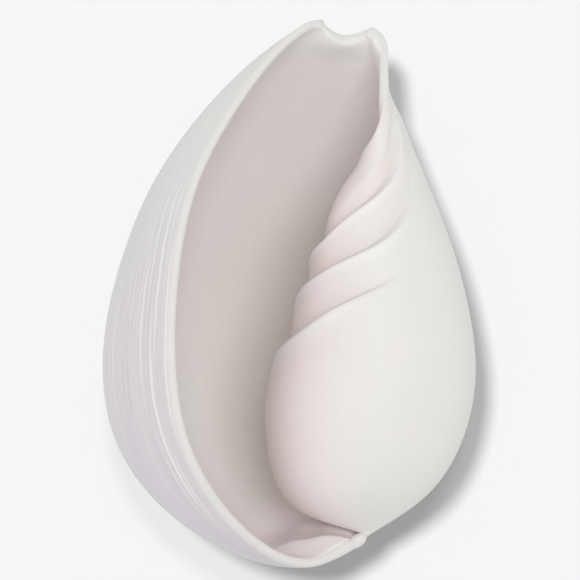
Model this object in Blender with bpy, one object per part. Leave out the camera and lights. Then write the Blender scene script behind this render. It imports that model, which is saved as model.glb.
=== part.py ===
"""A conch shell, lying on its back with the opening up.

The shell is one sheet that winds round a lengthwise axis. It starts at the free lip on the left, runs
under the back to the right side, over the top as the body and down into the opening as the inner whorls.
X is to the right, Y is towards the notched front end and Z is up.
"""
import math

import bmesh
import bpy
import numpy as np

# Driving dimensions, in metres
LENGTH = 0.200
WALL = 0.0030

# The tables below count in two-hundredths of the length
PART = LENGTH / 200.0

# Side views of the sheet as pairs, place along the axis and distance out from it, from the front margin
# to the apex in even steps: far left wall, back, right side, top of the body, and its left edge
LEFT = ((101.5, 18.5), (82.6, 44.3), (51.0, 71.3), (16.0, 88.1), (-22.0, 96.0),
        (-58.0, 89.5), (-86.0, 64.5), (-99.5, 30.0), (-92.5, 2.0))
BACK = ((96.0, 11.2), (74.0, 27.7), (48.0, 44.5), (20.0, 56.4), (-9.0, 62.0),
        (-38.0, 60.3), (-65.0, 45.6), (-84.0, 24.3), (-90.0, 2.0))
RIGHT = ((86.0, 8.7), (66.0, 11.5), (42.0, 21.0), (18.0, 30.9), (-6.0, 37.6),
         (-30.0, 40.2), (-53.0, 35.8), (-73.0, 23.5), (-88.0, 2.0))
TOP = ((52.5, 8.0), (38.0, 13.2), (21.0, 19.5), (4.0, 25.4), (-14.0, 30.2),
       (-33.0, 33.4), (-53.0, 32.0), (-73.0, 23.4), (-87.5, 2.0))
INNER = ((48.5, 0.6), (36.0, 10.0), (18.5, 16.0), (-0.5, 22.2), (-20.0, 29.4),
         (-40.0, 35.8), (-60.0, 35.2), (-78.0, 26.2), (-87.0, 2.0))
SIDE_VIEWS = (LEFT, BACK, RIGHT, TOP, INNER)

# Angle round the axis in degrees, 180 to the left, 270 down, 360 to the right and 450 up; then the share
# of each side view there, the scale outwards and the scale lengthwise, which works from its centre
STATIONS = (
    (120, (1.00, 0.00, 0.00, 0.00, 0.00), 0.600, 1.00),
    (150, (1.00, 0.00, 0.00, 0.00, 0.00), 0.855, 1.00),
    (180, (1.00, 0.00, 0.00, 0.00, 0.00), 1.000, 1.00),
    (225, (0.50, 0.47, 0.03, 0.00, 0.00), 1.030, 1.00),
    (270, (0.00, 1.00, 0.00, 0.00, 0.00), 0.975, 1.00),
    (315, (0.00, 0.35, 0.65, 0.00, 0.00), 0.990, 1.00),
    (360, (0.00, 0.00, 1.00, 0.00, 0.00), 1.000, 1.00),
    (450, (0.00, 0.00, 0.00, 1.00, 0.00), 1.000, 1.00),
    (540, (0.00, 0.00, 0.00, 0.00, 1.00), 1.000, 1.00),
    (630, (0.00, 0.00, 0.00, 0.00, 1.00), 0.740, 0.92),
    (720, (0.00, 0.00, 0.00, 0.00, 1.00), 0.600, 0.86),
    (810, (0.00, 0.00, 0.00, 0.00, 1.00), 0.490, 0.80),
    (900, (0.00, 0.00, 0.00, 0.00, 1.00), 0.400, 0.75),
    (990, (0.00, 0.00, 0.00, 0.00, 1.00), 0.325, 0.70),
    (1080, (0.00, 0.00, 0.00, 0.00, 1.00), 0.260, 0.66),
)
SCALE_CENTRE = -20.0

# The front margin with its notch: angle, place along the axis, distance out
MARGIN = (
    (150, 101.6, 18.5), (165, 101.6, 18.3), (180, 100.8, 17.6), (195, 99.2, 16.8), (208, 97.3, 15.8),
    (222, 95.5, 14.6), (245, 94.9, 12.8), (270, 96.0, 11.2), (292, 96.6, 10.2), (315, 94.6, 9.4),
    (340, 90.6, 8.8), (360, 84.0, 8.4), (382, 75.0, 8.7), (402, 66.4, 9.1), (422, 58.9, 8.5),
    (450, 52.7, 6.2), (475, 50.4, 3.8), (500, 49.4, 2.0), (520, 48.9, 1.1), (540, 48.5, 0.6),
    (630, 43.0, 0.45), (720, 38.9, 0.4), (810, 34.8, 0.35), (900, 31.4, 0.3), (1080, 25.2, 0.25),
)
MARGIN_REACH = 0.22

# Behind the front rim the right side is drawn in to a waist
WAIST = 0.17
WAIST_PLACES = (0.0, 0.075, 0.095, 0.155)
WAIST_ANGLES = (285.0, 325.0, 345.0, 372.0)

# The free lip: share of the way from front to apex, and its angle, which swings round at both corners
LIP = ((0.000, 171.0), (0.125, 159.5), (0.280, 155.0), (0.375, 152.5), (0.500, 149.5), (0.600, 148.5),
       (0.720, 148.0), (0.800, 149.5), (0.875, 153.5), (1.000, 165.0))
LIP_CORNER_TURN = 16.0
LIP_CORNER_SHARE = 0.035
LIP_ANGLE = 150.0
LIP_REACH = 90.0

# Three spiral folds on the body: where each one lies between front and apex, at each angle
FOLD_ANGLES = (365, 372, 380, 400, 420, 440, 460, 480, 500, 520, 540, 600)
FOLD_PLACES = (
    (0.128, 0.142, 0.154, 0.171, 0.171, 0.165, 0.169, 0.193, 0.234, 0.262, 0.290, 0.350),
    (0.213, 0.224, 0.236, 0.262, 0.277, 0.285, 0.291, 0.307, 0.331, 0.356, 0.388, 0.450),
    (0.352, 0.357, 0.362, 0.375, 0.387, 0.396, 0.408, 0.430, 0.464, 0.492, 0.520, 0.580),
)
EVEN_PLACES = (0.20, 0.30, 0.40)
EVEN_UNTIL = 300.0
FOLDED_FROM = 372.0
FOLD_EDGE = 0.0035
FOLD_STARTS = (345.0, 365.0, 410.0)
FOLD_RISES = (50.0, 75.0, 75.0)
FOLD_HEIGHT = 4.8
FOLD_END = (560.0, 640.0)
CREST = 0.52
GROOVE = -0.48
BEFORE_FOLDS = 0.07
AFTER_FOLDS = 0.20

# The sheet is cut into columns up to each angle, and into rows between the folds
COLUMNS = ((360.0, 26), (560.0, 18), (1080.0, 14))
ROWS = (7, 1, 4, 1, 4, 1, 16)
FRONT_CROWDING = 1.6
APEX_CROWDING = 1.25
RIM_STEPS = 3

# The wall swells inwards at the front margin, along the lower lip, and to a ledge at the lip's apex end
FRONT_SWELL = 1.8
FRONT_SWELL_END = 0.06
FRONT_SWELL_ANGLES = (175.0, 215.0, 315.0, 350.0)
SWELL = 0.7
SWELL_PLACES = (0.50, 0.72, 0.86, 0.94)
SWELL_ANGLES = (190.0, 240.0)
LEDGE = 6.5
LEDGE_PLACES = (0.82, 0.90, 0.94, 1.02)
LEDGE_ANGLES = (154.0, 176.0, 215.0, 290.0)

# Near the axis the wall is at most this share of the distance out, with a soft change between the two
INNER_SHARE = 0.62
INNER_SOFTNESS = 3.0

# Rounded lumps fused to the sheet, the first chamber at the apex and the end of the lip: centre, half
# sizes, and turn in degrees about the vertical
LUMPS = (
    ("first_chamber", (0.0, -86.0, 0.0), (2.8, 2.8, 2.8), 0.0),
    ("lip_end", (-3.2, -90.6, 0.6), (4.0, 2.5, 2.6), 30.0),
)
LUMP_DETAIL = 2

SHELL_COLOUR = (0.80, 0.78, 0.75, 1.0)
SHELL_ROUGHNESS = 0.55


def natural_spline(knots, values, at):
    """Values of a smooth curve through the knots, at the places given in an array of any shape."""
    knots = np.asarray(knots, float)
    values = np.asarray(values, float)
    at = np.asarray(at, float)
    count = len(knots)
    gaps = np.diff(knots)
    system = np.eye(count)
    right = np.zeros(values.shape)
    for i in range(1, count - 1):
        system[i, i - 1:i + 2] = gaps[i - 1], 2 * (gaps[i - 1] + gaps[i]), gaps[i]
        right[i] = 6 * ((values[i + 1] - values[i]) / gaps[i] - (values[i] - values[i - 1]) / gaps[i - 1])
    bends = np.linalg.solve(system, right.reshape(count, -1)).reshape(values.shape)
    i = np.clip(np.searchsorted(knots, at) - 1, 0, count - 2)
    shape = at.shape + (1,) * (values.ndim - 1)
    gap = gaps[i].reshape(shape)
    a = ((knots[i + 1] - at) / gaps[i]).reshape(shape)
    b = 1 - a
    curve = (a ** 3 - a) * bends[i] + (b ** 3 - b) * bends[i + 1]
    return a * values[i] + b * values[i + 1] + curve * gap ** 2 / 6


def ease(x):
    """0 to 1 with a soft start and end."""
    x = np.clip(x, 0.0, 1.0)
    return x * x * (3 - 2 * x)


def rise_and_fall(values, places):
    """0 before the first place, 1 between the second and the third, and 0 again after the last."""
    start, full, leave, end = places
    return ease((values - start) / (full - start)) * ease((end - values) / (end - leave))


def station_blend(angle, side_views):
    """Places along and out at each angle, from one pair of places for each side view."""
    weights = natural_spline([s[0] for s in STATIONS], np.eye(len(STATIONS)), angle)
    along = 0.0
    out = 0.0
    for k, (_, shares, scale_out, scale_along) in enumerate(STATIONS):
        pair = sum(share * view for share, view in zip(shares, side_views))
        along = along + weights[..., k] * (SCALE_CENTRE + (pair[..., 0] - SCALE_CENTRE) * scale_along)
        out = out + weights[..., k] * pair[..., 1] * scale_out
    return along, out


def smooth_sheet(angle, place):
    """Place along the axis and distance out of the sheet without folds. Place runs from front to apex."""
    steps = np.linspace(0.0, 1.0, len(LEFT))
    along, out = station_blend(angle, [natural_spline(steps, view, place) for view in SIDE_VIEWS])
    front_along, front_out = station_blend(angle, [np.array(view[0]) for view in SIDE_VIEWS])
    margin = natural_spline([m[0] for m in MARGIN], [m[1:] for m in MARGIN], angle)
    pull = np.clip(1 - place / MARGIN_REACH, 0.0, 1.0) ** 2
    along = along + pull * (margin[..., 0] - front_along)
    out = out + pull * (margin[..., 1] - front_out)
    out = out * (1 - WAIST * rise_and_fall(place, WAIST_PLACES) * rise_and_fall(angle, WAIST_ANGLES))
    return along, out


def points(angle, along, out):
    """Points in metres, about the axis."""
    turn = np.radians(angle)
    return np.stack([out * np.cos(turn), along, out * np.sin(turn)], axis=-1) * PART


def fold_places(angle):
    """Where the three folds lie at each angle; evenly spread on the outer wall, which has no folds."""
    on_body = np.clip(angle, FOLD_ANGLES[0], FOLD_ANGLES[-1])
    places = natural_spline(FOLD_ANGLES, np.array(FOLD_PLACES).T, on_body)
    share = ease((angle - EVEN_UNTIL) / (FOLDED_FROM - EVEN_UNTIL))[..., None]
    return np.array(EVEN_PLACES) * (1 - share) + places * share


def row_knots(angle):
    """Places of the front, of both edges of each fold and of the apex, at each angle."""
    folds = fold_places(angle)
    edges = np.stack([folds - FOLD_EDGE, folds + FOLD_EDGE], axis=-1).reshape(angle.shape + (-1,))
    ends = np.zeros(angle.shape + (1,))
    return np.concatenate([ends, edges, ends + 1], axis=-1)


def row_plan():
    """For each row, the span between knots that it lies in, and its share of the way along that span."""
    spans = []
    shares = []
    for span, count in enumerate(ROWS):
        for i in range(count):
            share = i / count
            if span == 0:
                share = share ** FRONT_CROWDING
            if span == len(ROWS) - 1:
                share = 1 - (1 - share) ** APEX_CROWDING
            spans.append(span)
            shares.append(share)
    spans.append(len(ROWS) - 1)
    shares.append(1.0)
    return np.array(spans), np.array(shares)


def row_places(angle, spans, shares):
    """Place between front and apex of each row, at each angle."""
    knots = row_knots(angle)
    low = np.take_along_axis(knots, np.broadcast_to(spans, angle.shape)[..., None], -1)[..., 0]
    high = np.take_along_axis(knots, np.broadcast_to(spans + 1, angle.shape)[..., None], -1)[..., 0]
    return low + (high - low) * shares


def lip_angles(place):
    """Angle of the free lip at each place between front and apex."""
    angle = natural_spline([p for p, _ in LIP], [a for _, a in LIP], place)
    front = np.clip(1 - place / LIP_CORNER_SHARE, 0.0, 1.0) ** 2
    apex = np.clip(1 - (1 - place) / LIP_CORNER_SHARE, 0.0, 1.0) ** 2
    return angle + LIP_CORNER_TURN * (front + apex)


def column_angles():
    """Angle of each column, before the first ones are bent to follow the lip."""
    angles = [LIP_ANGLE]
    for end, count in COLUMNS:
        angles.extend(np.linspace(angles[-1], end, count + 1)[1:])
    return np.array(angles)


def fold_relief(angle, place, spans, shares):
    """How far the folds stand out: a groove, a steep step up to a crest, and a slope to the next groove."""
    knots = row_knots(angle)
    relief = np.zeros(angle.shape)
    for k, (start, length) in enumerate(zip(FOLD_STARTS, FOLD_RISES)):
        rise_in = ease((angle - start) / length)
        fade_out = ease((FOLD_END[1] - angle) / np.ptp(FOLD_END))
        height = FOLD_HEIGHT * rise_in * fade_out
        dip = height * GROOVE
        crest = height * CREST
        before = spans == 2 * k
        step = spans == 2 * k + 1
        after = spans == 2 * k + 2
        if k == 0:
            rise = np.clip(1 - (knots[..., 1] - place) / BEFORE_FOLDS, 0.0, 1.0)
        else:
            rise = shares
        if k == len(FOLD_STARTS) - 1:
            fall = np.clip(1 - (place - knots[..., 2 * k + 2]) / AFTER_FOLDS, 0.0, 1.0) ** 2
        else:
            fall = 1 - shares
        relief = relief + np.where(before, dip * rise, 0.0) + np.where(after, crest * fall, 0.0)
        relief = relief + np.where(step, dip + (crest - dip) * ease(shares), 0.0)
    return relief


def normals(angle, place):
    """Outward direction of the sheet without folds."""
    small_angle = 0.05
    small_place = 0.0005
    across = (points(angle + small_angle, *smooth_sheet(angle + small_angle, place))
              - points(angle - small_angle, *smooth_sheet(angle - small_angle, place)))
    down = (points(angle, *smooth_sheet(angle, place + small_place))
            - points(angle, *smooth_sheet(angle, place - small_place)))
    normal = np.cross(down, across)
    return normal / np.linalg.norm(normal, axis=-1, keepdims=True)


def wall_depth(angle, place, out):
    """Wall thickness in metres."""
    wall = WALL / PART
    front = FRONT_SWELL * ease(1 - place / FRONT_SWELL_END) * rise_and_fall(angle, FRONT_SWELL_ANGLES)
    swell = SWELL * rise_and_fall(place, SWELL_PLACES)
    swell = swell * ease((SWELL_ANGLES[1] - angle) / np.ptp(SWELL_ANGLES))
    ledge = LEDGE * rise_and_fall(place, LEDGE_PLACES) * rise_and_fall(angle, LEDGE_ANGLES)
    near_axis = (1 - np.exp(-(INNER_SHARE * out / wall) ** INNER_SOFTNESS)) ** (1 / INNER_SOFTNESS)
    return (wall * near_axis + front + swell + ledge) * PART


def sheet_faces():
    """Outer points, inner points and outward directions, as columns by rows."""
    spans, shares = row_plan()
    lip = lip_angles(row_places(np.full(shares.shape, LIP_ANGLE), spans, shares))
    columns = column_angles()[:, None]
    bend = np.clip(1 - (columns - LIP_ANGLE) / LIP_REACH, 0.0, 1.0)
    angle = columns + (lip[None, :] - LIP_ANGLE) * bend
    place = row_places(angle, spans, shares)
    along, out = smooth_sheet(angle, place)
    direction = normals(angle, place)
    if np.mean(np.sum(direction * points(angle, along * 0, out), axis=-1)) < 0:
        direction = -direction
    relief = fold_relief(angle, place, spans, shares)
    outer = points(angle, along, out + relief)
    inner = points(angle, along, out) - direction * wall_depth(angle, place, out)[..., None]
    return outer, inner, direction


def unit(vectors):
    """Vectors of length one, and zero where the length is zero."""
    lengths = np.linalg.norm(vectors, axis=-1, keepdims=True)
    return vectors / np.where(lengths > 0, lengths, 1.0)


def rim_rings(outer, inner, direction, border):
    """Rings of points that round off the free edge between the outer and the inner face."""
    i, j = border
    middle = (outer[i, j] + inner[i, j]) / 2
    half = np.linalg.norm(outer[i, j] - inner[i, j], axis=-1, keepdims=True) / 2
    i_inside = np.clip(i, 1, outer.shape[0] - 2)
    j_inside = np.clip(j, 1, outer.shape[1] - 2)
    away = unit(outer[i, j] - outer[i_inside, j]) + unit(outer[i, j] - outer[i, j_inside])
    normal = direction[i, j]
    away = unit(away - np.sum(away * normal, axis=-1, keepdims=True) * normal)
    rings = []
    for k in range(1, RIM_STEPS):
        turn = math.pi * k / RIM_STEPS
        rings.append(middle + half * (normal * math.cos(turn) + away * math.sin(turn)))
    return rings


def sheet_mesh():
    """The sheet as points and four-sided faces: outer face, inner face and rounded rim."""
    outer, inner, direction = sheet_faces()
    index = np.arange(outer[..., 0].size).reshape(outer.shape[:2])
    a = index[:-1, :-1]
    b = index[1:, :-1]
    c = index[1:, 1:]
    d = index[:-1, 1:]
    border = np.concatenate([index[:-1, 0], index[-1, :-1], index[:0:-1, -1], index[0, :0:-1]])
    vertices = [outer.reshape(-1, 3), inner.reshape(-1, 3)]
    vertices += rim_rings(outer, inner, direction, np.unravel_index(border, index.shape))
    faces = [
        np.stack([a, b, c, d], axis=-1).reshape(-1, 4),
        np.stack([d, c, b, a], axis=-1).reshape(-1, 4) + index.size,
    ]
    rings = [border]
    for k in range(RIM_STEPS - 1):
        rings.append(np.arange(len(border)) + 2 * index.size + k * len(border))
    rings.append(border + index.size)
    for ring, next_ring in zip(rings, rings[1:]):
        faces.append(np.stack([np.roll(ring, -1), ring, next_ring, np.roll(next_ring, -1)], axis=-1))
    return np.concatenate(vertices), np.concatenate(faces)


def make_object(name, vertices, faces, collection):
    """A closed, smooth-shaded object of triangles, facing out."""
    mesh = bpy.data.meshes.new(name)
    mesh.from_pydata(vertices.tolist(), [], faces.tolist())
    mesh.update()
    editor = bmesh.new()
    editor.from_mesh(mesh)
    bmesh.ops.triangulate(editor, faces=editor.faces[:])
    bmesh.ops.recalc_face_normals(editor, faces=editor.faces[:])
    editor.to_mesh(mesh)
    editor.free()
    mesh.polygons.foreach_set("use_smooth", [True] * len(mesh.polygons))
    made = bpy.data.objects.new(name, mesh)
    collection.objects.link(made)
    return made


def make_collection(name, hidden):
    """A collection in the scene, hidden from renders for cutters and joiners."""
    collection = bpy.data.collections.new(name)
    bpy.context.scene.collection.children.link(collection)
    collection.hide_render = hidden
    return collection


def lump_points(centre, half_sizes, turn):
    """Points and triangles of a rounded lump, in metres about the axis."""
    editor = bmesh.new()
    bmesh.ops.create_icosphere(editor, subdivisions=LUMP_DETAIL, radius=1.0)
    ball = np.array([point.co for point in editor.verts]) * half_sizes
    faces = [[point.index for point in face.verts] for face in editor.faces]
    editor.free()
    cosine = math.cos(math.radians(turn))
    sine = math.sin(math.radians(turn))
    x = ball[:, 0] * cosine - ball[:, 1] * sine
    y = ball[:, 0] * sine + ball[:, 1] * cosine
    return (np.stack([x, y, ball[:, 2]], axis=-1) + centre) * PART, np.array(faces)


def join(target, piece):
    """Fuses a piece into the target."""
    union = target.modifiers.new("join_" + piece.name, "BOOLEAN")
    union.operation = "UNION"
    union.solver = "EXACT"
    union.object = piece


def shell_material():
    """Plain off-white shell."""
    material = bpy.data.materials.new("shell")
    material.use_nodes = True
    shader = material.node_tree.nodes["Principled BSDF"]
    shader.inputs["Base Color"].default_value = SHELL_COLOUR
    shader.inputs["Roughness"].default_value = SHELL_ROUGHNESS
    shader.inputs["Metallic"].default_value = 0.0
    return material


def build():
    """Builds the shell, its box centred over the origin and its lowest point at the origin's height."""
    for old in list(bpy.data.objects):
        bpy.data.objects.remove(old)
    collection = make_collection("conch_shell", hidden=False)
    joiners = make_collection("joiners", hidden=True)
    vertices, faces = sheet_mesh()
    low = vertices.min(axis=0)
    high = vertices.max(axis=0)
    origin = np.array((-(low[0] + high[0]) / 2, -(low[1] + high[1]) / 2, -low[2]))
    shell = make_object("shell", vertices + origin, faces, collection)
    shell.data.materials.append(shell_material())
    for name, centre, half_sizes, turn in LUMPS:
        lump_vertices, lump_faces = lump_points(centre, half_sizes, turn)
        lump = make_object(name, lump_vertices + origin, lump_faces, joiners)
        lump.display_type = "WIRE"
        join(shell, lump)


build()
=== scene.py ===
"""The looks of the conch shell: its fine surface with folds, rim and growth lines, its material, and the
light, floor and camera of the photograph."""
import math

import bmesh
import bpy
import numpy as np
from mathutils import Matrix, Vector


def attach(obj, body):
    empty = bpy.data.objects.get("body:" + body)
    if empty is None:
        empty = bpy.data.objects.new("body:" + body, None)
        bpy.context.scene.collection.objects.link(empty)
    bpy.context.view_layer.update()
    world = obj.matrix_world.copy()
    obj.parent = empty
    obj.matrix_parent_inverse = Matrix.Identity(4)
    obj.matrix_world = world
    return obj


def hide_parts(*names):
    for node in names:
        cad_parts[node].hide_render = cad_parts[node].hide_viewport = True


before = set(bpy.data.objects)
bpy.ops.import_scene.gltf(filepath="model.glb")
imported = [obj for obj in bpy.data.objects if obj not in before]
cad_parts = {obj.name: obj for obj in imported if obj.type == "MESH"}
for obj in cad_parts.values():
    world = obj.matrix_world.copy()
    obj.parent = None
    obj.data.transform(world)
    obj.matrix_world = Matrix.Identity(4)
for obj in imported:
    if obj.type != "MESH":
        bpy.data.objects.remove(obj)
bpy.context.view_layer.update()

# Driving dimensions, in metres
LENGTH = 0.200
WALL = 0.0030

# The tables below count in two-hundredths of the length
PART = LENGTH / 200.0

# Side views of the sheet as pairs, place along the axis and distance out from it, from the front margin
# to the apex in even steps: far left wall, back, right side, top of the body, and its left edge
LEFT = ((101.5, 18.5), (82.6, 44.3), (51.0, 71.3), (16.0, 88.1), (-22.0, 96.0),
        (-58.0, 89.5), (-86.0, 64.5), (-99.5, 30.0), (-92.5, 2.0))
BACK = ((96.0, 11.2), (74.0, 27.7), (48.0, 44.5), (20.0, 56.4), (-9.0, 62.0),
        (-38.0, 60.3), (-65.0, 45.6), (-84.0, 24.3), (-90.0, 2.0))
RIGHT = ((86.0, 8.7), (66.0, 11.5), (42.0, 21.0), (18.0, 30.9), (-6.0, 37.6),
         (-30.0, 40.2), (-53.0, 35.8), (-73.0, 23.5), (-88.0, 2.0))
TOP = ((52.5, 8.0), (38.0, 13.2), (21.0, 19.5), (4.0, 25.4), (-14.0, 30.2),
       (-33.0, 33.4), (-53.0, 32.0), (-73.0, 23.4), (-87.5, 2.0))
INNER = ((48.5, 0.6), (36.0, 10.0), (18.5, 16.0), (-0.5, 22.2), (-20.0, 29.4),
         (-40.0, 35.8), (-60.0, 35.2), (-78.0, 26.2), (-87.0, 2.0))
SIDE_VIEWS = (LEFT, BACK, RIGHT, TOP, INNER)

# Angle round the axis in degrees, 180 to the left, 270 down, 360 to the right and 450 up; then the share
# of each side view there, the scale outwards and the scale lengthwise, which works from its centre
STATIONS = (
    (120, (1.00, 0.00, 0.00, 0.00, 0.00), 0.600, 1.00),
    (150, (1.00, 0.00, 0.00, 0.00, 0.00), 0.855, 1.00),
    (180, (1.00, 0.00, 0.00, 0.00, 0.00), 1.000, 1.00),
    (225, (0.50, 0.47, 0.03, 0.00, 0.00), 1.030, 1.00),
    (270, (0.00, 1.00, 0.00, 0.00, 0.00), 0.975, 1.00),
    (315, (0.00, 0.35, 0.65, 0.00, 0.00), 0.990, 1.00),
    (360, (0.00, 0.00, 1.00, 0.00, 0.00), 1.000, 1.00),
    (450, (0.00, 0.00, 0.00, 1.00, 0.00), 1.000, 1.00),
    (540, (0.00, 0.00, 0.00, 0.00, 1.00), 1.000, 1.00),
    (630, (0.00, 0.00, 0.00, 0.00, 1.00), 0.740, 0.92),
    (720, (0.00, 0.00, 0.00, 0.00, 1.00), 0.600, 0.86),
    (810, (0.00, 0.00, 0.00, 0.00, 1.00), 0.490, 0.80),
    (900, (0.00, 0.00, 0.00, 0.00, 1.00), 0.400, 0.75),
    (990, (0.00, 0.00, 0.00, 0.00, 1.00), 0.325, 0.70),
    (1080, (0.00, 0.00, 0.00, 0.00, 1.00), 0.260, 0.66),
)
SCALE_CENTRE = -20.0

# The front margin with its notch: angle, place along the axis, distance out
MARGIN = (
    (150, 101.6, 18.5), (165, 101.6, 18.3), (180, 100.8, 17.6), (195, 99.2, 16.8), (208, 97.3, 15.8),
    (222, 95.5, 14.6), (245, 94.9, 12.8), (270, 96.0, 11.2), (292, 96.6, 10.2), (315, 94.6, 9.4),
    (340, 90.6, 8.8), (360, 84.0, 8.4), (382, 75.0, 8.7), (402, 66.4, 9.1), (422, 58.9, 8.5),
    (450, 52.7, 6.2), (475, 50.4, 3.8), (500, 49.4, 2.0), (520, 48.9, 1.1), (540, 48.5, 0.6),
    (630, 43.0, 0.45), (720, 38.9, 0.4), (810, 34.8, 0.35), (900, 31.4, 0.3), (1080, 25.2, 0.25),
)
MARGIN_REACH = 0.22

# Behind the front rim the right side is drawn in to a waist
WAIST = 0.17
WAIST_PLACES = (0.0, 0.075, 0.095, 0.155)
WAIST_ANGLES = (285.0, 325.0, 345.0, 372.0)

# The free lip: share of the way from front to apex, and its angle, which swings round at both corners
LIP = ((0.000, 171.0), (0.125, 159.5), (0.280, 155.0), (0.375, 152.5), (0.500, 149.5), (0.600, 148.5),
       (0.720, 148.0), (0.800, 149.5), (0.875, 153.5), (1.000, 165.0))
LIP_CORNER_TURN = 16.0
LIP_CORNER_SHARE = 0.035
LIP_ANGLE = 150.0
LIP_REACH = 90.0

# Three spiral folds on the body: where each one lies between front and apex, at each angle
FOLD_ANGLES = (365, 372, 380, 400, 420, 440, 460, 480, 500, 520, 540, 600)
FOLD_PLACES = (
    (0.128, 0.142, 0.154, 0.171, 0.171, 0.165, 0.169, 0.193, 0.234, 0.262, 0.290, 0.350),
    (0.213, 0.224, 0.236, 0.262, 0.277, 0.285, 0.291, 0.307, 0.331, 0.356, 0.388, 0.450),
    (0.352, 0.357, 0.362, 0.375, 0.387, 0.396, 0.408, 0.430, 0.464, 0.492, 0.520, 0.580),
)
EVEN_PLACES = (0.20, 0.30, 0.40)
EVEN_UNTIL = 300.0
FOLDED_FROM = 372.0
FOLD_EDGE = 0.0035
FOLD_STARTS = (345.0, 365.0, 410.0)
FOLD_RISES = (50.0, 75.0, 75.0)
FOLD_HEIGHT = 4.8
FOLD_END = (560.0, 640.0)
CREST = 0.52
GROOVE = -0.48
BEFORE_FOLDS = 0.07
AFTER_FOLDS = 0.20

# The fine sheet: columns up to each angle, rows between the folds, and the coarser spacing inside
COLUMNS = ((180.0, 190), (215.0, 90), (360.0, 70), (560.0, 110), (1080.0, 30))
ROWS = (24, 4, 14, 4, 14, 4, 60)
FRONT_CROWDING = 1.6
APEX_CROWDING = 1.25
RIM_STEPS = 6
INNER_STRIDE = 5

# The wall swells inwards at the front margin, along the lower lip, and to a ledge at the lip's apex end
FRONT_SWELL = 1.8
FRONT_SWELL_END = 0.06
FRONT_SWELL_ANGLES = (175.0, 215.0, 315.0, 350.0)
SWELL = 0.7
SWELL_PLACES = (0.50, 0.72, 0.86, 0.94)
SWELL_ANGLES = (190.0, 240.0)
LEDGE = 6.5
LEDGE_PLACES = (0.82, 0.90, 0.94, 1.02)
LEDGE_ANGLES = (154.0, 176.0, 215.0, 290.0)

# Near the axis the wall is at most this share of the distance out, with a soft change between the two
INNER_SHARE = 0.62
INNER_SOFTNESS = 3.0

# Rounded lumps fused to the sheet, the first chamber at the apex and the end of the lip: centre, half
# sizes, and turn in degrees about the vertical
LUMPS = (
    ("first_chamber", (0.0, -86.0, 0.0), (2.8, 2.8, 2.8), 0.0),
    ("lip_end", (-3.2, -90.6, 0.6), (4.0, 2.5, 2.6), 30.0),
)
LUMP_DETAIL = 5
LUMP_MARKS = {
    "first_chamber": {"turn": 0.80, "place": 0.95, "from_lip": 1.0},
    "lip_end": {"turn": 0.05, "place": 0.97, "from_lip": 0.0},
}

# Growth lines: spacing and width in degrees round the axis, and height or depth; raised ridges near the
# lip, and fine grooves on the whole outer wall
GROWTH_SEED = 11
FIRST_LINE = 1.0
RIDGES = {"spacing": (1.0, 2.3), "width": (0.26, 0.44), "depth": (0.20, 0.44)}
GROOVES = {"spacing": (0.6, 1.5), "width": (0.16, 0.34), "depth": (0.03, 0.14)}

# The lines fade towards both ends of the shell and before the last angle, ridges also away from the lip
GROWTH_PLACES = (0.16, 0.40, 0.62, 0.88)
GROWTH_END = 350.0
GROWTH_FADE = 60.0
RIDGES_REACH = 17.0
RIDGES_LEFT = 0.22

# Each line comes and goes a few times along its length; past one angle the lines grow wider and sparser
LINE_BEATS = (1.2, 3.4)
LINE_SHARE = 0.58
SPARSE_FROM = 200.0
SPARSE_OVER = 60.0

# The lines waver: degrees to either side, waves from front to apex, and waves for each degree round
WAVES = ((0.20, 1.3, 0.021), (0.14, 4.7, 0.047), (0.06, 17.0, 0.093))

# Floor, lights and camera: places in metres, light angles in degrees
FLOOR_HALF = 3.0
FLOOR_WHITE = 0.30
FLOOR_GLOW = 0.17
WORLD_LIGHT = 0.62
KEY_DIRECTION = (0.18, 0.12, 1.0)
KEY_POWER = 1.20
KEY_ANGLE = 30.0
FILL_DIRECTION = (-1.0, 0.15, 0.35)
FILL_POWER = 0.35
FILL_ANGLE = 40.0
SHADOW_DIRECTION = (-0.14, 0.155, 1.0)
SHADOW_POWER = 5.06
SHADOW_ANGLE = 6.5
SECOND_DIRECTION = (0.03, 0.25, 1.0)
SECOND_POWER = 1.05
SECOND_ANGLE = 6.0
VIEW_HEIGHT = 1.5
VIEW_LEVEL = 0.07
VIEW_WIDTH = 0.2117
AXIS_FROM_VIEW_CENTRE = 0.0275
VIEW_FORWARD = 0.0013


def natural_spline(knots, values, at):
    """Values of a smooth curve through the knots, at the places given in an array of any shape."""
    knots = np.asarray(knots, float)
    values = np.asarray(values, float)
    at = np.asarray(at, float)
    count = len(knots)
    gaps = np.diff(knots)
    system = np.eye(count)
    right = np.zeros(values.shape)
    for i in range(1, count - 1):
        system[i, i - 1:i + 2] = gaps[i - 1], 2 * (gaps[i - 1] + gaps[i]), gaps[i]
        right[i] = 6 * ((values[i + 1] - values[i]) / gaps[i] - (values[i] - values[i - 1]) / gaps[i - 1])
    bends = np.linalg.solve(system, right.reshape(count, -1)).reshape(values.shape)
    i = np.clip(np.searchsorted(knots, at) - 1, 0, count - 2)
    shape = at.shape + (1,) * (values.ndim - 1)
    gap = gaps[i].reshape(shape)
    a = ((knots[i + 1] - at) / gaps[i]).reshape(shape)
    b = 1 - a
    curve = (a ** 3 - a) * bends[i] + (b ** 3 - b) * bends[i + 1]
    return a * values[i] + b * values[i + 1] + curve * gap ** 2 / 6


def ease(x):
    """0 to 1 with a soft start and end."""
    x = np.clip(x, 0.0, 1.0)
    return x * x * (3 - 2 * x)


def rise_and_fall(values, places):
    """0 before the first place, 1 between the second and the third, and 0 again after the last."""
    start, full, leave, end = places
    return ease((values - start) / (full - start)) * ease((end - values) / (end - leave))


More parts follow.
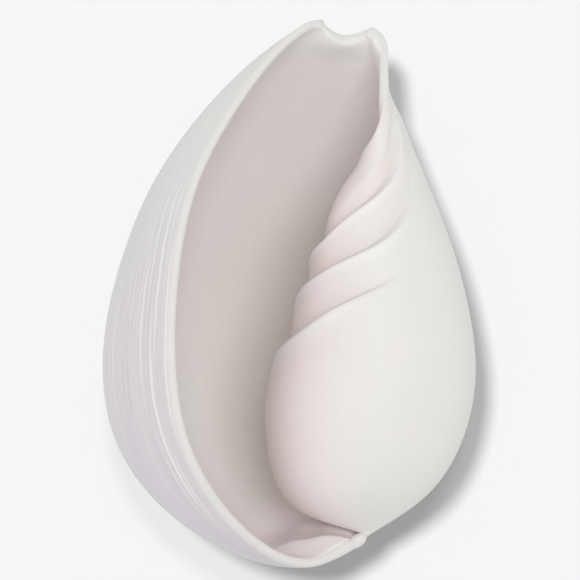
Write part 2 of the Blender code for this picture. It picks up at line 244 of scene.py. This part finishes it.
def station_blend(angle, side_views):
    """Places along and out at each angle, from one pair of places for each side view."""
    weights = natural_spline([s[0] for s in STATIONS], np.eye(len(STATIONS)), angle)
    along = 0.0
    out = 0.0
    for k, (_, shares, scale_out, scale_along) in enumerate(STATIONS):
        pair = sum(share * view for share, view in zip(shares, side_views))
        along = along + weights[..., k] * (SCALE_CENTRE + (pair[..., 0] - SCALE_CENTRE) * scale_along)
        out = out + weights[..., k] * pair[..., 1] * scale_out
    return along, out


def smooth_sheet(angle, place):
    """Place along the axis and distance out of the sheet without folds. Place runs from front to apex."""
    steps = np.linspace(0.0, 1.0, len(LEFT))
    along, out = station_blend(angle, [natural_spline(steps, view, place) for view in SIDE_VIEWS])
    front_along, front_out = station_blend(angle, [np.array(view[0]) for view in SIDE_VIEWS])
    margin = natural_spline([m[0] for m in MARGIN], [m[1:] for m in MARGIN], angle)
    pull = np.clip(1 - place / MARGIN_REACH, 0.0, 1.0) ** 2
    along = along + pull * (margin[..., 0] - front_along)
    out = out + pull * (margin[..., 1] - front_out)
    out = out * (1 - WAIST * rise_and_fall(place, WAIST_PLACES) * rise_and_fall(angle, WAIST_ANGLES))
    return along, out


def points(angle, along, out):
    """Points in metres, about the axis."""
    turn = np.radians(angle)
    return np.stack([out * np.cos(turn), along, out * np.sin(turn)], axis=-1) * PART


def fold_places(angle):
    """Where the three folds lie at each angle; evenly spread on the outer wall, which has no folds."""
    on_body = np.clip(angle, FOLD_ANGLES[0], FOLD_ANGLES[-1])
    places = natural_spline(FOLD_ANGLES, np.array(FOLD_PLACES).T, on_body)
    share = ease((angle - EVEN_UNTIL) / (FOLDED_FROM - EVEN_UNTIL))[..., None]
    return np.array(EVEN_PLACES) * (1 - share) + places * share


def row_knots(angle):
    """Places of the front, of both edges of each fold and of the apex, at each angle."""
    folds = fold_places(angle)
    edges = np.stack([folds - FOLD_EDGE, folds + FOLD_EDGE], axis=-1).reshape(angle.shape + (-1,))
    ends = np.zeros(angle.shape + (1,))
    return np.concatenate([ends, edges, ends + 1], axis=-1)


def row_plan():
    """For each row, the span between knots that it lies in, and its share of the way along that span."""
    spans = []
    shares = []
    for span, count in enumerate(ROWS):
        for i in range(count):
            share = i / count
            if span == 0:
                share = share ** FRONT_CROWDING
            if span == len(ROWS) - 1:
                share = 1 - (1 - share) ** APEX_CROWDING
            spans.append(span)
            shares.append(share)
    spans.append(len(ROWS) - 1)
    shares.append(1.0)
    return np.array(spans), np.array(shares)


def row_places(angle, spans, shares):
    """Place between front and apex of each row, at each angle."""
    knots = row_knots(angle)
    low = np.take_along_axis(knots, np.broadcast_to(spans, angle.shape)[..., None], -1)[..., 0]
    high = np.take_along_axis(knots, np.broadcast_to(spans + 1, angle.shape)[..., None], -1)[..., 0]
    return low + (high - low) * shares


def lip_angles(place):
    """Angle of the free lip at each place between front and apex."""
    angle = natural_spline([p for p, _ in LIP], [a for _, a in LIP], place)
    front = np.clip(1 - place / LIP_CORNER_SHARE, 0.0, 1.0) ** 2
    apex = np.clip(1 - (1 - place) / LIP_CORNER_SHARE, 0.0, 1.0) ** 2
    return angle + LIP_CORNER_TURN * (front + apex)


def column_angles():
    """Angle of each column, before the first ones are bent to follow the lip."""
    angles = [LIP_ANGLE]
    for end, count in COLUMNS:
        angles.extend(np.linspace(angles[-1], end, count + 1)[1:])
    return np.array(angles)


def fold_relief(angle, place, spans, shares):
    """How far the folds stand out: a groove, a steep step up to a crest, and a slope to the next groove."""
    knots = row_knots(angle)
    relief = np.zeros(angle.shape)
    for k, (start, length) in enumerate(zip(FOLD_STARTS, FOLD_RISES)):
        rise_in = ease((angle - start) / length)
        fade_out = ease((FOLD_END[1] - angle) / np.ptp(FOLD_END))
        height = FOLD_HEIGHT * rise_in * fade_out
        dip = height * GROOVE
        crest = height * CREST
        before = spans == 2 * k
        step = spans == 2 * k + 1
        after = spans == 2 * k + 2
        if k == 0:
            rise = np.clip(1 - (knots[..., 1] - place) / BEFORE_FOLDS, 0.0, 1.0)
        else:
            rise = shares
        if k == len(FOLD_STARTS) - 1:
            fall = np.clip(1 - (place - knots[..., 2 * k + 2]) / AFTER_FOLDS, 0.0, 1.0) ** 2
        else:
            fall = 1 - shares
        relief = relief + np.where(before, dip * rise, 0.0) + np.where(after, crest * fall, 0.0)
        relief = relief + np.where(step, dip + (crest - dip) * ease(shares), 0.0)
    return relief


def normals(angle, place):
    """Outward direction of the sheet without folds."""
    small_angle = 0.05
    small_place = 0.0005
    across = (points(angle + small_angle, *smooth_sheet(angle + small_angle, place))
              - points(angle - small_angle, *smooth_sheet(angle - small_angle, place)))
    down = (points(angle, *smooth_sheet(angle, place + small_place))
            - points(angle, *smooth_sheet(angle, place - small_place)))
    normal = np.cross(down, across)
    return normal / np.linalg.norm(normal, axis=-1, keepdims=True)


def wall_depth(angle, place, out):
    """Wall thickness in metres."""
    wall = WALL / PART
    front = FRONT_SWELL * ease(1 - place / FRONT_SWELL_END) * rise_and_fall(angle, FRONT_SWELL_ANGLES)
    swell = SWELL * rise_and_fall(place, SWELL_PLACES)
    swell = swell * ease((SWELL_ANGLES[1] - angle) / np.ptp(SWELL_ANGLES))
    ledge = LEDGE * rise_and_fall(place, LEDGE_PLACES) * rise_and_fall(angle, LEDGE_ANGLES)
    near_axis = (1 - np.exp(-(INNER_SHARE * out / wall) ** INNER_SOFTNESS)) ** (1 / INNER_SOFTNESS)
    return (wall * near_axis + front + swell + ledge) * PART


def unit(vectors):
    """Vectors of length one, and zero where the length is zero."""
    lengths = np.linalg.norm(vectors, axis=-1, keepdims=True)
    return vectors / np.where(lengths > 0, lengths, 1.0)


def rim_rings(outer, inner, direction, border):
    """Rings of points that round off the free edge between the outer and the inner face."""
    i, j = border
    middle = (outer[i, j] + inner[i, j]) / 2
    half = np.linalg.norm(outer[i, j] - inner[i, j], axis=-1, keepdims=True) / 2
    i_inside = np.clip(i, 1, outer.shape[0] - 2)
    j_inside = np.clip(j, 1, outer.shape[1] - 2)
    away = unit(outer[i, j] - outer[i_inside, j]) + unit(outer[i, j] - outer[i, j_inside])
    normal = direction[i, j]
    away = unit(away - np.sum(away * normal, axis=-1, keepdims=True) * normal)
    rings = []
    for k in range(1, RIM_STEPS):
        turn = math.pi * k / RIM_STEPS
        rings.append(middle + half * (normal * math.cos(turn) + away * math.sin(turn)))
    return rings


def growth_lines(columns, place, lines, dice):
    """Strength of one set of growth lines, which run along the lip and come and go along their length."""
    strength = np.zeros(place.shape)
    at = LIP_ANGLE + FIRST_LINE
    while at < GROWTH_END:
        width = dice.uniform(*lines["width"])
        depth = dice.uniform(*lines["depth"])
        beat = dice.uniform(*LINE_BEATS)
        phase = dice.uniform(0.0, 1.0)
        spread = 1 + max(0.0, at - SPARSE_FROM) / SPARSE_OVER
        along = LINE_SHARE + (1 - LINE_SHARE) * np.sin(2 * math.pi * (beat * place + phase))
        strength = strength + depth * along * np.exp(-((columns - at) / (width * spread)) ** 2)
        at += dice.uniform(*lines["spacing"]) * spread
    return strength


def growth_relief(columns, place):
    """Height of the ridges and depth of the grooves, slightly wavy and fading towards both ends."""
    dice = np.random.default_rng(GROWTH_SEED)
    wavy = columns
    for reach, along, round_axis in WAVES:
        wavy = wavy + reach * np.sin(2 * math.pi * (along * place + round_axis * columns))
    near = RIDGES_LEFT + (1 - RIDGES_LEFT) * np.exp(-((columns - LIP_ANGLE) / RIDGES_REACH) ** 2)
    ends = rise_and_fall(place, GROWTH_PLACES)
    edge = ease((columns - LIP_ANGLE) / FIRST_LINE) * ease((GROWTH_END - columns) / GROWTH_FADE)
    ridges = growth_lines(wavy, place, RIDGES, dice) * near * ends * edge
    grooves = growth_lines(wavy, place, GROOVES, dice) * ends * edge
    return ridges, grooves


def rows_and_columns():
    """The grid: base angle of each column, and angle and place of each point."""
    spans, shares = row_plan()
    lip = lip_angles(row_places(np.full(shares.shape, LIP_ANGLE), spans, shares))
    columns = column_angles()[:, None]
    bend = np.clip(1 - (columns - LIP_ANGLE) / LIP_REACH, 0.0, 1.0)
    angle = columns + (lip[None, :] - LIP_ANGLE) * bend
    place = row_places(angle, spans, shares)
    return columns, angle, place, spans, shares


def sheet_faces():
    """Outer points, inner points, outward directions, and the marks that the material reads."""
    columns, angle, place, spans, shares = rows_and_columns()
    along, out = smooth_sheet(angle, place)
    direction = normals(angle, place)
    if np.mean(np.sum(direction * points(angle, along * 0, out), axis=-1)) < 0:
        direction = -direction
    folds = fold_relief(angle, place, spans, shares)
    ridges, grooves = growth_relief(columns, place)
    outer = points(angle, along, out + folds) + direction * ((ridges - grooves) * PART)[..., None]
    inner = points(angle, along, out) - direction * wall_depth(angle, place, out)[..., None]
    marks = {
        "turn": (angle - LIP_ANGLE) / 360.0,
        "place": place,
        "ridge": ridges / RIDGES["depth"][1],
        "groove": grooves / GROOVES["depth"][1],
        "fold": folds / FOLD_HEIGHT,
        "from_lip": (columns - LIP_ANGLE) / LIP_REACH + 0.0 * place,
    }
    return outer, inner, direction, marks


def sheet_mesh():
    """The sheet as points and faces: fine outer face, coarser inner face and rounded rim, and its marks."""
    outer, inner, direction, marks = sheet_faces()
    index = np.arange(outer[..., 0].size).reshape(outer.shape[:2])
    size = index.size
    border = np.concatenate([index[:-1, 0], index[-1, :-1], index[:0:-1, -1], index[0, :0:-1]])
    rims = rim_rings(outer, inner, direction, np.unravel_index(border, index.shape))
    vertices = np.concatenate([outer.reshape(-1, 3), inner.reshape(-1, 3)] + rims)
    a = index[:-1, :-1]
    b = index[1:, :-1]
    c = index[1:, 1:]
    d = index[:-1, 1:]
    faces = np.stack([a, b, c, d], axis=-1).reshape(-1, 4).tolist()
    stops = list(range(0, index.shape[0] - 1, INNER_STRIDE)) + [index.shape[0] - 1]
    last = index.shape[1] - 1
    for low, high in zip(stops, stops[1:]):
        strip = index[low:high + 1] + size
        faces.append([strip[0, 1]] + [strip[-1, 1]] + strip[::-1, 0].tolist())
        for j in range(1, last - 1):
            faces.append([strip[0, j + 1], strip[-1, j + 1], strip[-1, j], strip[0, j]])
        faces.append(strip[:, last].tolist() + [strip[-1, last - 1], strip[0, last - 1]])
    rings = [border]
    for k in range(RIM_STEPS - 1):
        rings.append(np.arange(len(border)) + 2 * size + k * len(border))
    rings.append(border + size)
    for ring, next_ring in zip(rings, rings[1:]):
        faces += np.stack([np.roll(ring, -1), ring, next_ring, np.roll(next_ring, -1)], axis=-1).tolist()
    values = {}
    for name, grid in marks.items():
        flat = grid.reshape(-1)
        values[name] = np.concatenate([flat, flat] + [flat[border]] * (RIM_STEPS - 1))
    values["ridge"][size:] = 0.0
    values["groove"][size:] = 0.0
    inside = [np.zeros(size), np.ones(size)]
    for k in range(1, RIM_STEPS):
        inside.append(np.full(len(border), k / RIM_STEPS))
    values["inside"] = np.concatenate(inside)
    return drop_unused(vertices, faces, values)


def drop_unused(vertices, faces, values):
    """Leaves out the points that no face uses."""
    used = np.zeros(len(vertices), bool)
    for face in faces:
        used[face] = True
    renumber = np.cumsum(used) - 1
    faces = [[int(renumber[i]) for i in face] for face in faces]
    return vertices[used], faces, {name: value[used] for name, value in values.items()}


def make_mesh_object(name, vertices, faces):
    """A smooth-shaded mesh object in the scene."""
    mesh = bpy.data.meshes.new(name)
    mesh.from_pydata(vertices.tolist(), [], faces)
    mesh.update()
    mesh.polygons.foreach_set("use_smooth", [True] * len(mesh.polygons))
    made = bpy.data.objects.new(name, mesh)
    bpy.context.scene.collection.objects.link(made)
    return made


def set_mark(piece, name, values):
    """Stores one number for each point, which the material reads under this name."""
    attribute = piece.data.attributes.new(name, "FLOAT", "POINT")
    attribute.data.foreach_set("value", values.astype(np.float32))


class Nodes:
    """Short calls for making and linking shader nodes."""

    def __init__(self, name):
        self.material = bpy.data.materials.new(name)
        self.material.use_nodes = True
        self.tree = self.material.node_tree
        self.shader = self.tree.nodes["Principled BSDF"]

    def link(self, value, socket):
        if isinstance(value, bpy.types.NodeSocket):
            self.tree.links.new(value, socket)
        else:
            socket.default_value = value

    def mark(self, name):
        node = self.tree.nodes.new("ShaderNodeAttribute")
        node.attribute_name = name
        return node.outputs["Fac"]

    def math(self, operation, a, b=0.0, clamp=False):
        node = self.tree.nodes.new("ShaderNodeMath")
        node.operation = operation
        node.use_clamp = clamp
        self.link(a, node.inputs[0])
        self.link(b, node.inputs[1])
        return node.outputs[0]

    def ramp(self, value, low, high):
        node = self.tree.nodes.new("ShaderNodeMapRange")
        node.interpolation_type = "SMOOTHSTEP"
        self.link(value, node.inputs["Value"])
        node.inputs["From Min"].default_value = low
        node.inputs["From Max"].default_value = high
        return node.outputs["Result"]

    def less(self, value, low, high):
        return self.math("SUBTRACT", 1.0, self.ramp(value, low, high))

    def mix(self, share, a, b):
        node = self.tree.nodes.new("ShaderNodeMix")
        node.data_type = "RGBA"
        self.link(share, node.inputs["Factor"])
        self.link(a, node.inputs["A"])
        self.link(b, node.inputs["B"])
        return node.outputs["Result"]

    def both(self, a, b):
        return self.math("MULTIPLY", a, b)

    def blend(self, where, most, a, b):
        return self.mix(self.math("MULTIPLY", where, most, True), a, b)

    def place(self, stretch):
        coordinates = self.tree.nodes.new("ShaderNodeTexCoord")
        mapping = self.tree.nodes.new("ShaderNodeMapping")
        mapping.inputs["Scale"].default_value = stretch
        self.tree.links.new(coordinates.outputs["Object"], mapping.inputs["Vector"])
        return mapping.outputs["Vector"]

    def marks_vector(self, first, second, stretch):
        joined = self.tree.nodes.new("ShaderNodeCombineXYZ")
        self.link(self.math("MULTIPLY", first, stretch[0]), joined.inputs["X"])
        self.link(self.math("MULTIPLY", second, stretch[1]), joined.inputs["Y"])
        return joined.outputs["Vector"]

    def noise(self, vector, scale, detail=2.0, roughness=0.5):
        node = self.tree.nodes.new("ShaderNodeTexNoise")
        self.link(vector, node.inputs["Vector"])
        node.inputs["Scale"].default_value = scale
        node.inputs["Detail"].default_value = detail
        node.inputs["Roughness"].default_value = roughness
        return node.outputs["Fac"]

    def bump(self, height, strength, distance, normal=None):
        node = self.tree.nodes.new("ShaderNodeBump")
        node.inputs["Strength"].default_value = strength
        node.inputs["Distance"].default_value = distance
        self.link(height, node.inputs["Height"])
        if normal is not None:
            self.link(normal, node.inputs["Normal"])
        return node.outputs["Normal"]


def outside_colour(n, bands):
    """Chalky white, cooler and streaked on the lip's wall, blushing towards the body's inner edge, with
    painted shade on the right flank, between the ridges and in the grooves of the growth lines and folds,
    and painted light on the ridge tops and fold crests.
    """
    turn = n.mark("turn")
    place = n.mark("place")
    fold = n.mark("fold")
    from_lip = n.mark("from_lip")
    white = (0.800, 0.792, 0.765, 1.0)
    warm = (0.840, 0.812, 0.765, 1.0)
    chalk = (0.735, 0.725, 0.712, 1.0)
    cool = (0.755, 0.722, 0.728, 1.0)
    lavender = (0.722, 0.690, 0.765, 1.0)
    rim = (0.770, 0.752, 0.728, 1.0)
    # Painted highlight for the fold crests
    painted_crest_highlight = (0.890, 0.875, 0.855, 1.0)
    # Painted shade, a little cooler grey, for the right flank
    side = (0.745, 0.738, 0.720, 1.0)
    # groove: grey of the streaks, and also painted shade in the growth-line grooves; between: painted shade
    # between the ridges; ridge: painted light on the ridge tops
    groove = (0.520, 0.490, 0.515, 1.0)
    between = (0.640, 0.612, 0.638, 1.0)
    ridge = (0.815, 0.800, 0.782, 1.0)
    blush = (0.860, 0.765, 0.748, 1.0)
    # Painted shade, pinkish, for the fold grooves
    fold_shade = (0.700, 0.605, 0.590, 1.0)

    # Body, and painted shade on the right flank
    cloud = n.noise(n.place((1.0, 1.0, 1.0)), 24.0, 2.0, 0.5)
    colour = n.blend(n.ramp(cloud, 0.42, 0.68), 0.45, white, warm)
    shaded_flank = n.both(n.ramp(turn, 0.30, 0.45), n.less(turn, 0.58, 0.70))
    colour = n.blend(shaded_flank, 0.7, colour, side)

    # Lip's wall with its streaks
    wall = n.less(turn, 0.14, 0.34)
    colour = n.blend(wall, 0.8, colour, n.mix(n.ramp(place, 0.25, 0.50), chalk, cool))
    low_wall = n.both(wall, n.ramp(place, 0.42, 0.72))
    colour = n.mix(n.both(low_wall, n.ramp(bands, 0.30, 0.60)), colour, lavender)
    streaks = n.both(n.ramp(bands, 0.50, 0.74), n.less(turn, 0.10, 0.50))
    colour = n.blend(streaks, 0.26, colour, groove)

    # Growth lines, with painted shade between the ridges near the lip and in the grooves and painted light
    # on the ridge tops, and rim
    painted_shade_near_lip = n.both(n.less(from_lip, 0.02, 0.34), n.ramp(place, 0.20, 0.40))
    # Painted shade between the ridges near the lip
    colour = n.blend(painted_shade_near_lip, 0.6, colour, between)
    # Painted shade in the growth-line grooves
    colour = n.blend(n.mark("groove"), 0.42, colour, groove)
    # Painted light on the ridge tops
    colour = n.mix(n.ramp(n.mark("ridge"), 0.04, 0.50), colour, ridge)
    colour = n.blend(n.less(from_lip, 0.002, 0.014), 0.9, colour, rim)

    # Folds, with painted shade in their grooves and a painted highlight on their crests, and the body's
    # inner edge
    colour = n.blend(n.ramp(turn, 0.81, 0.99), 0.95, colour, blush)
    on_body = n.ramp(turn, 0.60, 0.78)
    # Painted shade in the fold grooves
    colour = n.blend(n.both(on_body, n.less(fold, -0.46, 0.10)), 0.40, colour, fold_shade)
    colour = n.blend(n.both(on_body, n.less(place, 0.13, 0.29)), 0.40, colour, blush)
    # Painted highlight on the fold crests
    return n.blend(n.both(on_body, n.ramp(fold, 0.20, 0.46)), 0.60, colour, painted_crest_highlight)


def inside_colour(n):
    """Pinkish grey in soft bands, browner in the deep, mauve at the front and whitish along the edges; rose
    at the apex end, made paler as painted light in its recess, and painted shade on the ledge.
    """
    turn = n.mark("turn")
    place = n.mark("place")
    pink = (0.912, 0.860, 0.862, 1.0)
    grey = (0.845, 0.862, 0.838, 1.0)
    taupe = (0.805, 0.755, 0.712, 1.0)
    mauve = (0.930, 0.858, 0.858, 1.0)
    # Rose tone of the apex end, partly its own pink and partly painted light against the shade in its recess
    rose_and_painted_light = (0.985, 0.920, 0.925, 1.0)
    # Darker pinkish grey for the ledge's top: painted shade
    painted_shade_on_ledge = (0.725, 0.668, 0.652, 1.0)
    margin = (0.930, 0.925, 0.908, 1.0)

    patches = n.noise(n.marks_vector(turn, place, (26.0, 4.5)), 1.0, 2.0, 0.5)
    colour = n.mix(n.ramp(patches, 0.46, 0.66), pink, grey)
    colour = n.blend(n.ramp(turn, 0.10, 0.27), 0.85, colour, taupe)
    colour = n.blend(n.both(n.less(place, 0.20, 0.42), n.ramp(turn, 0.08, 0.22)), 0.6, colour, mauve)
    # Rose at the apex end: partly its own pink, partly painted light lifting the recess
    colour = n.blend(n.ramp(place, 0.76, 0.86), 0.85, colour, rose_and_painted_light)
    # Painted shade on the ledge's top
    colour = n.blend(n.both(n.ramp(place, 0.82, 0.88), n.less(turn, 0.12, 0.20)), 0.9, colour, painted_shade_on_ledge)
    edge = n.math("MAXIMUM", n.less(place, 0.025, 0.080), n.less(n.mark("from_lip"), 0.004, 0.030))
    return n.blend(edge, 0.85, colour, margin)


def shell_material():
    """Bleached shell: chalky white outside and pinkish grey inside."""
    n = Nodes("bleached_shell")
    inside = n.mark("inside")
    turn = n.mark("turn")
    bands = n.noise(n.marks_vector(turn, n.mark("place"), (260.0, 3.0)), 1.0, 3.0, 0.65)
    fine = n.noise(n.place((1.0, 1.0, 1.0)), 420.0, 3.0, 0.6)
    hue = n.tree.nodes.new("ShaderNodeHueSaturation")
    n.link(n.math("ADD", 1.0, n.math("MULTIPLY", n.math("SUBTRACT", fine, 0.5), 0.04)), hue.inputs["Value"])
    n.link(n.mix(n.ramp(inside, 0.60, 1.0), outside_colour(n, bands), inside_colour(n)), hue.inputs["Color"])
    n.link(hue.outputs["Color"], n.shader.inputs["Base Color"])

    roughness = n.math("ADD", 0.50, n.math("MULTIPLY", fine, 0.14))
    n.link(n.math("SUBTRACT", roughness, n.math("MULTIPLY", inside, 0.08)), n.shader.inputs["Roughness"])
    n.shader.inputs["Specular IOR Level"].default_value = 0.35

    outer_wall = n.both(n.less(turn, 0.30, 0.80), n.math("SUBTRACT", 1.0, inside))
    normal = n.bump(n.both(bands, outer_wall), 0.30, 0.0004)
    normal = n.bump(n.noise(n.place((1.0, 1.0, 1.0)), 900.0, 4.0, 0.6), 0.10, 0.0002, normal)
    n.link(normal, n.shader.inputs["Normal"])
    return n.material


def dress(piece, material):
    """Gives a piece its material and puts it in place of the solid."""
    piece.data.materials.append(material)
    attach(piece, "root")
    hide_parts("shell")


def lump_points(centre, half_sizes, turn):
    """Points and triangles of a rounded lump, in metres about the axis."""
    editor = bmesh.new()
    bmesh.ops.create_icosphere(editor, subdivisions=LUMP_DETAIL, radius=1.0)
    ball = np.array([point.co for point in editor.verts]) * half_sizes
    faces = [[point.index for point in face.verts] for face in editor.faces]
    editor.free()
    cosine = math.cos(math.radians(turn))
    sine = math.sin(math.radians(turn))
    x = ball[:, 0] * cosine - ball[:, 1] * sine
    y = ball[:, 0] * sine + ball[:, 1] * cosine
    return (np.stack([x, y, ball[:, 2]], axis=-1) + centre) * PART, np.array(faces)


def make_lump(name, centre, half_sizes, turn, origin):
    """A rounded lump with the marks that the material reads."""
    points_of_lump, faces = lump_points(centre, half_sizes, turn)
    lump = make_mesh_object(name, points_of_lump + origin, faces.tolist())
    for mark, value in LUMP_MARKS[name].items():
        set_mark(lump, mark, np.full(len(points_of_lump), value))
    return lump


def make_shell():
    """The fine shell in place of the solid, with its box centred over the solid's."""
    vertices, faces, values = sheet_mesh()
    low = vertices.min(axis=0)
    high = vertices.max(axis=0)
    origin = np.array((-(low[0] + high[0]) / 2, -(low[1] + high[1]) / 2, -low[2]))
    shell = make_mesh_object("shell_surface", vertices + origin, faces)
    for name, value in values.items():
        set_mark(shell, name, value)
    pieces = [shell] + [make_lump(*lump, origin) for lump in LUMPS]
    material = shell_material()
    for piece in pieces:
        dress(piece, material)
    return origin, pieces


def make_floor():
    """A wide pale floor, a little self-lit like a light table."""
    corners = np.array([(-1, -1, 0), (1, -1, 0), (1, 1, 0), (-1, 1, 0)]) * FLOOR_HALF
    floor = make_mesh_object("floor", corners, [[0, 1, 2, 3]])
    n = Nodes("floor")
    n.shader.inputs["Base Color"].default_value = (FLOOR_WHITE, FLOOR_WHITE, FLOOR_WHITE, 1.0)
    n.shader.inputs["Roughness"].default_value = 0.9
    n.shader.inputs["Specular IOR Level"].default_value = 0.0
    n.shader.inputs["Emission Color"].default_value = (1.0, 1.0, 1.0, 1.0)
    n.shader.inputs["Emission Strength"].default_value = FLOOR_GLOW
    floor.data.materials.append(n.material)
    return floor


def make_sun(name, direction, power, angle, lit):
    """A soft distant light from the given direction, which only the lit collection takes."""
    data = bpy.data.lights.new(name, "SUN")
    data.energy = power
    data.angle = math.radians(angle)
    sun = bpy.data.objects.new(name, data)
    sun.location = Vector(direction).normalized()
    sun.rotation_mode = "QUATERNION"
    sun.rotation_quaternion = Vector(direction).to_track_quat("Z", "Y")
    sun.light_linking.receiver_collection = lit
    bpy.context.scene.collection.objects.link(sun)


def make_receivers(name, pieces):
    """A collection that only says which pieces a light reaches."""
    collection = bpy.data.collections.new(name)
    for piece in pieces:
        collection.objects.link(piece)
    return collection


def make_lights(pieces, floor):
    """Even light from all round, a key and a fill on the shell, and two on the floor for its shadow."""
    world = bpy.data.worlds.new("studio")
    bpy.context.scene.world = world
    world.use_nodes = True
    background = world.node_tree.nodes["Background"]
    background.inputs["Color"].default_value = (1.0, 1.0, 1.0, 1.0)
    background.inputs["Strength"].default_value = WORLD_LIGHT
    shell_lit = make_receivers("shell_lit", pieces)
    make_sun("key", KEY_DIRECTION, KEY_POWER, KEY_ANGLE, shell_lit)
    make_sun("fill", FILL_DIRECTION, FILL_POWER, FILL_ANGLE, shell_lit)
    floor_lit = make_receivers("floor_lit", [floor])
    make_sun("floor_light", SHADOW_DIRECTION, SHADOW_POWER, SHADOW_ANGLE, floor_lit)
    make_sun("second_floor_light", SECOND_DIRECTION, SECOND_POWER, SECOND_ANGLE, floor_lit)


def make_camera(origin):
    """Straight down from above the middle of the photograph, with a long lens."""
    data = bpy.data.cameras.new("camera")
    data.sensor_width = 36.0
    data.lens = data.sensor_width * (VIEW_HEIGHT - VIEW_LEVEL) / VIEW_WIDTH
    camera = bpy.data.objects.new("camera", data)
    camera.location = (origin[0] - AXIS_FROM_VIEW_CENTRE, origin[1] + VIEW_FORWARD, VIEW_HEIGHT)
    bpy.context.scene.collection.objects.link(camera)
    bpy.context.scene.camera = camera


shell_origin, shell_pieces = make_shell()
make_lights(shell_pieces, make_floor())
make_camera(shell_origin)
bpy.context.scene.view_settings.view_transform = "Standard"
